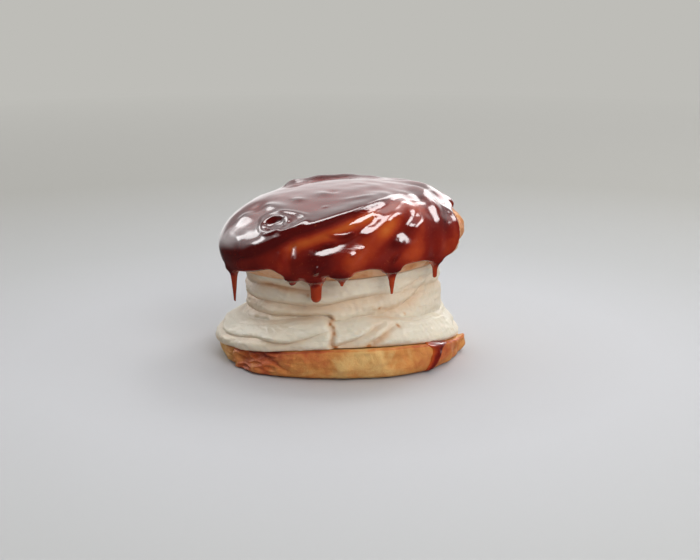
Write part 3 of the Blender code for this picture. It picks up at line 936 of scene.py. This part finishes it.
# Cream
CREAM_UPPER_RADIUS = 31.5
CREAM_LOWER_RADIUS = 39.2
CREAM_FRONT_FLAT = 2.1
CREAM_MIDDLE_RADIUS = 36
CREAM_FOOT_RADIUS = 37
CREAM_TOP_RADIUS = 30  # here its top edge is as high as the lid's seat
CREAM_CLEARANCE = 0.3  # above the base
SEAM_ANGLE = -94  # where the piped rope of the lower tier ends
CREASES = (  # (direction, height mm, depth mm) points, then mm of slope above and below
    (((-176, 23.6, 0.6), (-159, 24.6, 0.8), (-141, 26.3, 1.0), (-125, 26.9, 1.0), (-109, 26.6, 0.9),
      (-100, 26.2, 0.5), (-90, 26.4, 0.0), (-60, 27.5, 0.0), (-20, 28.0, 0.5), (30, 27.0, 1.0),
      (90, 26.6, 1.2), (150, 25.4, 1.0)), 1.4, 3.2),
    (((-156, 19.8, 1.3), (-143, 20.8, 1.4), (-127, 21.4, 1.4), (-110, 21.3, 1.4), (-100, 21.8, 1.5),
      (-92, 22.8, 1.4), (-81, 24.1, 1.3), (-69, 24.8, 1.0), (-56, 25.1, 0.7), (-46, 25.3, 0.5),
      (-30, 25.0, 0.6), (0, 23.8, 1.2), (60, 23.0, 1.4), (120, 21.6, 1.4), (170, 20.2, 1.3)), 1.3, 3.4),
    (((-176, 15.6, 1.0), (-149, 16.4, 1.0), (-130, 17.2, 1.1), (-119, 17.9, 1.1), (-109, 18.3, 1.0),
      (-100, 18.6, 0.8), (-94, 18.8, 0.0), (-40, 19.0, 0.0), (10, 19.4, 0.6), (60, 18.6, 1.1),
      (120, 17.2, 1.1)), 1.3, 2.6),
    (((-84, 17.6, 0.0), (-74, 18.8, 0.7), (-64, 20.2, 0.9), (-56, 21.2, 0.9), (-47, 21.5, 0.8),
      (-35, 23.1, 0.5), (-20, 24.0, 0.0), (60, 20.0, 0.0), (180, 20.0, 0.0)), 2.2, 4.2),
    (((-170, 8.6, 0.8), (-148, 9.5, 1.2), (-135, 11.2, 1.4), (-127, 11.1, 1.4), (-118, 10.8, 1.3),
      (-111, 11.9, 1.3), (-103, 13.9, 1.2), (-97, 15.6, 0.8), (-93, 16.0, 0.0), (-20, 9.0, 0.0),
      (10, 8.6, 1.0), (60, 9.4, 1.4), (110, 8.8, 1.3), (150, 9.6, 1.2)), 1.1, 2.4),
    (((-94, 10.6, 0.0), (-91, 11.2, 1.0), (-84, 12.5, 1.3), (-78, 14.6, 1.3), (-72, 16.4, 1.0),
      (-66, 17.4, 0.0), (180, 12.0, 0.0)), 1.0, 2.2),
    (((-78, 17.0, 0.0), (-68, 18.4, 0.5), (-56, 20.2, 0.8), (-46, 22.0, 0.9), (-36, 25.2, 0.7),
      (-28, 27.0, 0.0), (180, 22.0, 0.0)), 1.2, 2.6),
    (((-58, 25.6, 0.0), (-48, 26.8, 0.6), (-38, 28.4, 0.6), (-28, 29.4, 0.0), (180, 27.0, 0.0)), 1.0, 2.0),
    (((-80, 11.2, 0.0), (-75, 12.2, 1.0), (-70, 14.0, 1.1), (-64, 15.8, 0.8), (-56, 16.6, 0.0),
      (180, 12.0, 0.0)), 1.2, 2.0),
)
# A painted shadow in the top crease under the lid, then crumbs along the seam.
CREAM_SHADOW_AND_CRUMBS = (  # direction, width, height and half height in mm, how tan
    (-133, 22, 26.4, 1.0, 0.45),
    (SEAM_ANGLE, 1.3, 12.5, 3.0, 0.30),
)
CREAM_VALLEY = (-71, 13.0, 0.42)  # a tan valley: direction, height there and slope in mm a degree
CREAM_SPECKS = (  # direction, height, half size in mm, how tan
    (-60.2, 15.9, 0.5, 0.8), (-67.7, 20.8, 0.5, 0.7), (-76.6, 11.0, 0.6, 0.9), (-92.3, 10.7, 0.5, 0.8),
    (-94.6, 18.2, 0.9, 0.5), (-93.5, 16.6, 0.6, 0.7), (-95.4, 17.3, 0.5, 0.8), (-93.2, 14.8, 0.6, 0.6),
    (-108.5, 25.2, 0.5, 0.5), (-52, 18.2, 0.5, 0.5),
)
TIER_STEP = round_curve((  # the height of the ledge between the tiers
    (-176, 11.4), (-147, 13.1), (-127, 15.4), (-117, 17.0), (-105, 18.5), (-98, 18.9), (-93, 17.4),
    (-87, 17.7), (-83, 18.3), (-75, 18.6), (-66, 18.0), (-50, 16.3), (-38, 15.2), (-10, 13.6),
    (40, 13.0), (100, 13.4), (150, 12.2)), 3.0)


def groove(away):
    """1 in the middle of a groove and 0 from its edges on."""
    return np.clip(1 - away, 0, 1) ** 1.9


def crease_cut(angle, height, points, above, below):
    """How deep one crease cuts in at an angle and a height."""
    level = round_curve([(p[0], p[1]) for p in points], 3.0)(angle)
    depth = round_curve([(p[0], p[2]) for p in points], 2.0)(angle)
    rise = height - level
    away = np.where(rise > 0, rise / (1.7 * above), -rise / (1.5 * below))
    return 1.35 * depth * groove(away)


def cream_radius(angle, height, foot):
    """The cream's outer radius, and how deep in its creases each point lies."""
    step = TIER_STEP(angle)
    upper = CREAM_UPPER_RADIUS + 0.5 * waver(angle, 31) + 0.5 * np.cos(angle) + 0.05 * (22 - height)
    lower = CREAM_LOWER_RADIUS + 0.3 * waver(angle, 40) - 1.0 * np.cos(angle)
    lower = lower - CREAM_FRONT_FLAT * bell(angle, -88, 34)
    front = bell(angle, -90, 52)
    left = bell(angle, 180, 55)
    ledge_top = step + 1.5 * (1 - front) + 0.4 * left
    ledge_depth = 4.6 + (4.9 - 3.3 * left) * (1 - front)
    share = np.clip((ledge_top - height) / ledge_depth, 0, 1)
    crisp = 0.85 * front + (0.3 + 0.2 * left) * (1 - front)
    ledge = np.sqrt(1 - (1 - share) ** 2) * crisp + (1 - crisp) * eased(share)
    tuck = 1.5 * (1 - 0.8 * left) * np.clip(1 - (height - foot) / 2.4, 0, 1) ** 2
    radius = upper + (lower - upper) * ledge - tuck
    cuts = np.zeros_like(radius)
    for points, above, below in CREASES:
        cuts = cuts + crease_cut(angle, height, points, above, below)
    under_lip = np.exp(-np.maximum(height - step, 0) / 1.3) * (height > step)
    cuts = cuts + 1.1 * under_lip * (0.25 + 0.75 * front)
    # the piped rope ends in a notch
    path = math.radians(SEAM_ANGLE) + 0.018 * np.sin(height * 0.9 + 0.5) - 0.006 * (height - 13)
    notch = 1.6 * groove(np.abs(wrapped(angle - path)) * CREAM_MIDDLE_RADIUS / 1.9)
    cuts = cuts + notch * eased((20 - height) / 1.5) * eased((height - foot + 1) / 2)
    return radius - cuts, cuts


def cream_tan_and_shade(angle, heights, cuts, foot):
    """How tan the cream is drawn: painted shade in its creases and over the upper tier under the lid, tan
    near the pastry, a painted shadow in the top crease, crumbs along the seam, and specks.
    """
    # Painted shade: darker tan in the creases and over the upper tier, under the lid.
    tan = 0.10 + 0.28 * np.clip(cuts / 1.6, 0, 1) + 0.13 * eased((heights - TIER_STEP(angle)) / 3)
    # The first is a painted shadow in the top crease; the second is crumbs along the seam.
    for degrees, width, height, half, amount in CREAM_SHADOW_AND_CRUMBS:
        tan = tan + amount * bell(angle, degrees, width) * hill(heights - height, half)
    degrees, height, slope = CREAM_VALLEY
    valley = height + slope * np.degrees(turn_from(angle, degrees))
    tan = tan + 0.45 * bell(angle, degrees, 6) * hill(heights - valley, 1.1)
    tan = tan + 0.35 * np.exp(-(heights - foot) / 0.9)
    for degrees, height, half, amount in CREAM_SPECKS:
        across = CREAM_MIDDLE_RADIUS * turn_from(angle, degrees)
        tan = tan + amount * hill(np.hypot(across, heights - height), half)
    return tan


def make_cream(material):
    columns, rows, cap_rows = 560, 150, 10
    angle = around(columns)
    foot = base_top_height(CREAM_FOOT_RADIUS, angle) + CREAM_CLEARANCE
    top = leaning(CREAM_TOP_RADIUS, angle, LID_SEAT_HEIGHT - GAP)[:, 2]
    heights = top + (foot - top) * np.linspace(0, 1, rows)[:, None]
    wide = np.broadcast_to(angle, heights.shape)
    radii, cuts = cream_radius(wide, heights, foot)
    points = cylindrical(radii, wide, heights)
    radii = radii + 0.24 * grain(points * (0.4, 0.4, 1.6), 2.6, 71) + 0.10 * grain(points, 1.1, 72)
    radii = radii + 0.35 * grain(points * (1, 1, 1.4), 7, 73)
    rings = [cylindrical(0, angle, LID_SEAT_HEIGHT - GAP)]
    for share in np.linspace(0.3, 1, cap_rows, endpoint=False):
        rings.append(leaning(radii[0] * share, angle, LID_SEAT_HEIGHT - GAP))
    radii[0] = radii[0] - 0.6
    rings.extend(cylindrical(radii, wide, heights))
    for share in np.linspace(1, 0.3, cap_rows)[1:]:
        radius = radii[-1] * share
        rings.append(cylindrical(radius, angle, base_top_height(radius, angle) + CREAM_CLEARANCE))
    rings.append(cylindrical(0, angle, BASE_MIDDLE_HEIGHT + CREAM_CLEARANCE))
    tan_and_shade = np.zeros((len(rings), columns))
    # Tan with painted shade in the creases and under the lid.
    tan_and_shade[1 + cap_rows:][:rows] = cream_tan_and_shade(angle, heights, cuts, foot)
    return ring_piece("piped_cream", np.array(rings), material, "cream_swirl", "tan_and_shade", tan_and_shade)


# Lid
LID_SWELL = (1, 15, 42, 6, 1.4)  # where it is bare: direction, width, height, half height, mm out


def make_lid(material):
    columns, rows, under_rows = 480, 110, 8
    angle = around(columns)
    wide, place = np.meshgrid(angle, np.linspace(0, 1, rows))
    rings = raised(wide, place, lid_relief(wide, place))
    lean_free = rings[:, :, 2] - LID_LEAN * rings[:, :, 0]
    bare = eased((glaze_edge_height(angle) + 1.5 - lean_free) / 1.5)
    crag = bare * (0.35 * grain(rings, 3.0, 81) + 0.16 * grain(rings, 1.2, 82))
    crag[-1] = 0
    degrees, width, height, half, reach = LID_SWELL
    swell = reach * bell(angle, degrees, width) * bare * hill(rings[:, :, 2] - height, half)
    rings = rings + (crag - 0.15 * bare + swell)[:, :, None] * cylindrical(1, angle, 0)
    # Painted shade: the bare crust is drawn darker in its dents.
    browning_and_shade = 0.32 + 0.25 * np.clip(-crag, -1, 1) + 0.30 * bell(angle, -2, 26) - 0.20 * bell(angle, -125, 18)
    seat_radius = np.hypot(rings[-1, :, 0], rings[-1, :, 1])
    under = leaning(seat_radius * np.linspace(1, 0, under_rows)[1:, None], angle, LID_SEAT_HEIGHT)
    rings = np.concatenate([rings, under])
    browning_and_shade = np.concatenate([browning_and_shade, np.full((under_rows - 1, columns), 0.1)])
    return ring_piece("lid_crust", rings, material, "lid_choux", "browning_and_shade", browning_and_shade)


# Glaze
GLAZE_BOX = np.array([[-42.0, -42.0, 16.0], [42.0, 42.0, 58.5]])
DARK_BULGE = (-100, 37.5, 8, 4, 0)  # as pools are given
BRIGHT_FOLD = (-66, 45.5, 4.5, 2.2, 40)


def apparent_thickness_and_shade(vertices):
    """How much caramel the light goes through, in mm, drawn thinner on folds and in drips and thicker on
    the left face, with painted shade and dark reflection drawn as thick caramel in the crater.
    """
    radius, angle, lean_free = without_lean(vertices)
    place, distance = near_section(radius, lean_free)
    left_face = (angle < 0) * eased((-121 - np.degrees(angle)) / 9) * eased(below_lip(angle, place) / 3)
    thickness_and_shade = distance - lid_relief(angle, place) + 0.45 * left_face
    for points, _, half_width, thinner in GLAZE_FOLDS:
        thickness_and_shade = thickness_and_shade - thinner * fold_share(angle, place, points, 1.2 * half_width)
    thickness_and_shade = thickness_and_shade + 0.3 * np.exp(-pool(angle, place, *DARK_BULGE) ** 4)
    thickness_and_shade = thickness_and_shade - 0.9 * hill(pool(angle, place, *BRIGHT_FOLD), 1)
    # Painted shade and dark reflection: the crater is drawn as thick, dark caramel.
    thickness_and_shade = thickness_and_shade + 2.2 * np.exp(-lump(angle, place, *CRATER) ** 4)
    hanging = eased((glaze_edge_height(angle) - lean_free) / 2.5)
    return thickness_and_shade * (1 - hanging) + 1.25 * hanging


def make_glaze(material):
    low, high = GLAZE_BOX
    counts = np.ceil((high - low) / GLAZE_STEP).astype(int) + 1
    axes = [start + GLAZE_STEP * np.arange(count) for start, count in zip(low, counts)]
    points = np.stack(np.meshgrid(*axes, indexing="ij"), axis=-1).reshape(-1, 3)
    radius, _, lean_free = without_lean(points)
    _, distance = near_section(radius, lean_free)
    near = (distance > -4) & (distance < 8)
    field = np.full(len(points), 5.0)
    field[near] = glaze_field(points[near])
    # the box holds the glaze with room to spare, so no crossed edge lies at its border
    vertices, faces = surface_net(field.reshape(counts), low, GLAZE_STEP)
    vertices, normals = settled(vertices, glaze_field)
    values = {"thickness_and_shade": apparent_thickness_and_shade(vertices)}
    return new_piece("caramel_glaze_coat", vertices, faces, material, values,
                     node="caramel_glaze", normals=normals)


# Stage, lights and camera
BACKDROP = linear(190, 189, 184)
LIGHTS = (  # name, degrees round from the front and up, metres away, width, height, radiance
    ("key_front", 28, 36, 0.8, 0.34, 0.36, 5.2),
    ("band_above", 172, 72, 0.8, 0.5, 0.06, 9),
    ("right_back", 140, 50, 0.8, 0.22, 0.2, 7),
    ("fill_front", 20, 16, 1.0, 0.9, 0.6, 1.5),
    ("fill_right", 75, 20, 1.0, 0.5, 0.5, 1.7),
)
# What the caramel mirrors: softboxes overhead, by where each starts, is full, starts to fade and
# ends along x and then along y, in parts of a direction of length 1
SOFTBOXES = (
    ((-0.46, -0.40, 0.30, 0.35), (-0.16, -0.12, 0.24, 0.28)),
    ((-2.00, -1.50, -0.46, -0.40), (-0.02, 0.02, 0.16, 0.20)),
    ((0.43, 0.47, 0.66, 0.70), (-0.16, -0.12, 0.32, 0.36)),
)
SOFTBOX_GLOW = 9.0
# and windows, and a dark card, behind it: left and right edge in degrees round from the back,
# lowest and highest edge, softness, glow
WINDOWS = (
    (11, 27, 13, 47, 1.5, 4.5),
    (-30, -11, 1, 20, 3.5, -0.85),
    (-62, -38, 15, 45, 1.5, 5.0),
)


def make_stage():
    bpy.ops.mesh.primitive_circle_add(vertices=128, radius=5.0, fill_type="NGON", location=(0, 0, 0))
    floor = bpy.context.object
    floor.name = "floor"
    material, tree, shader = new_material("floor")
    place = add_node(tree, "ShaderNodeTexCoord").outputs["Object"]
    away = add_node(tree, "ShaderNodeVectorMath", place, operation="LENGTH").outputs["Value"]
    # Painted fall-off of light: the floor is drawn lighter round the puff and darker further out, before
    # it fades into the backdrop's glow.
    colour = ramp(tree, away, (
        (0.10, linear(200, 201, 205)),
        (0.17, linear(188, 189, 190)),
        (0.34, linear(170, 169, 165)),
    ))
    fill_in(tree, shader, Base_Color=colour, Roughness=0.7, Specular_IOR_Level=0.2)
    glow = add_node(tree, "ShaderNodeEmission", Color=BACKDROP, Strength=1.0).outputs[0]
    haze = grey_ramp(tree, away, 0.25, 0.8)
    blend = add_node(tree, "ShaderNodeMixShader", haze, shader.outputs[0], glow).outputs[0]
    fill_in(tree, tree.nodes["Material Output"], Surface=blend)
    floor.data.materials.append(material)
    floor.visible_glossy = False


def make_lights():
    """Soft rectangular lights that face the puff. What the caramel mirrors is in the world."""
    for name, azimuth, elevation, distance, width, height, radiance in LIGHTS:
        light = bpy.data.lights.new(name, "AREA")
        light.shape = "RECTANGLE"
        light.size = width
        light.size_y = height
        light.energy = radiance * math.pi * width * height
        lamp = new_object(name, light)
        turn, rise = math.radians(azimuth), math.radians(elevation)
        flat = distance * math.cos(rise)
        lamp.location = (flat * math.sin(turn), -flat * math.cos(turn), 0.04 + distance * math.sin(rise))
        lamp.rotation_euler = (math.pi / 2 - rise, 0, turn)
        lamp.visible_glossy = False


def ranged(tree, value, start, end, low=0.0, high=1.0):
    """A smooth step of a value."""
    made = add_node(tree, "ShaderNodeMapRange", interpolation_type="SMOOTHSTEP", Value=value,
                    From_Min=start, From_Max=end, To_Min=low, To_Max=high)
    return made.outputs["Result"]


def product(tree, *values):
    total = values[0]
    for value in values[1:]:
        total = maths(tree, "MULTIPLY", total, value)
    return total


def between(tree, value, start, full, fading, end):
    """1 within a range of values, with soft ends."""
    return product(tree, ranged(tree, value, start, full), ranged(tree, value, fading, end, 1, 0))


def mirrored_studio(tree, x, y, z):
    """How bright the caramel finds each direction: a pale wall behind, softboxes and windows."""
    leftward = product(tree, ranged(tree, x, -0.3, -0.9), ranged(tree, z, 0.3, 0.45))
    wall = product(
        tree,
        ranged(tree, sum_of(tree, (y, 1.0), (leftward, 0.5)), 0.05, 0.35),
        ranged(tree, z, 0.72, 0.95, 1.0, 0.25),
        ranged(tree, x, 0.42, 0.72, 1.0, 0.08),
        ranged(tree, sum_of(tree, (z, 1.0), (x, 0.5)), -0.46, -0.18),
        ranged(tree, z, -0.4, -0.15),
    )
    parts = [(wall, 1.25)]
    overhead = ranged(tree, z, 0.38, 0.42)
    for along_x, along_y in SOFTBOXES:
        box = product(tree, overhead, between(tree, x, *along_x), between(tree, y, *along_y))
        parts.append((box, SOFTBOX_GLOW))
    across = sum_of(tree, (maths(tree, "ARCTAN2", x, y), math.degrees(1)))
    up = sum_of(tree, (maths(tree, "ARCSINE", z), math.degrees(1)))
    for left, right, lowest, highest, soft, glow in WINDOWS:
        width = between(tree, across, left - soft, left + soft, right - soft, right + soft)
        height = between(tree, up, lowest - soft, lowest + soft, highest - soft, highest + soft)
        parts.append((product(tree, width, height), glow))
    return sum_of(tree, *parts, 0.03)


def make_world():
    """A plain backdrop for the camera, a mirrored studio for gloss and soft light for the rest."""
    world = bpy.data.worlds.new("studio")
    bpy.context.scene.world = world
    world.use_nodes = True
    tree = world.node_tree
    direction = add_node(tree, "ShaderNodeTexCoord").outputs["Generated"]
    x, y, z = add_node(tree, "ShaderNodeSeparateXYZ", direction).outputs
    soft = ramp(tree, sum_of(tree, (y, 0.5), (z, 0.2), 0.4), (
        (0.20, (0.10, 0.10, 0.10, 1)),
        (0.85, (0.9, 0.89, 0.86, 1)),
    ))
    path = add_node(tree, "ShaderNodeLightPath")
    light = mixed(tree, path.outputs["Is Glossy Ray"], soft, mirrored_studio(tree, x, y, z))
    seen = mixed(tree, path.outputs["Is Camera Ray"], light, BACKDROP)
    fill_in(tree, tree.nodes["Background"], Color=seen)


def make_camera():
    camera = new_object("camera", bpy.data.cameras.new("camera"))
    camera.data.sensor_width = SENSOR
    camera.data.lens = LENS
    camera.data.clip_start = 0.01
    x, y, z = CAMERA_TARGET
    camera.location = (x, y - CAMERA_DISTANCE * math.cos(CAMERA_ELEVATION),
                       z + CAMERA_DISTANCE * math.sin(CAMERA_ELEVATION))
    camera.rotation_euler = (math.pi / 2 - CAMERA_ELEVATION, 0, 0)
    bpy.context.scene.camera = camera


make_camera()
make_stage()
make_world()
make_lights()
bpy.context.scene.view_settings.view_transform = "Standard"

base = make_base(choux_material("base_crust", *BASE_COLOURS))
caramel = caramel_material()
make_caramel_run(base, caramel)
make_cream(cream_material())
make_lid(choux_material("lid_crust", *LID_COLOURS))
make_glaze(caramel)
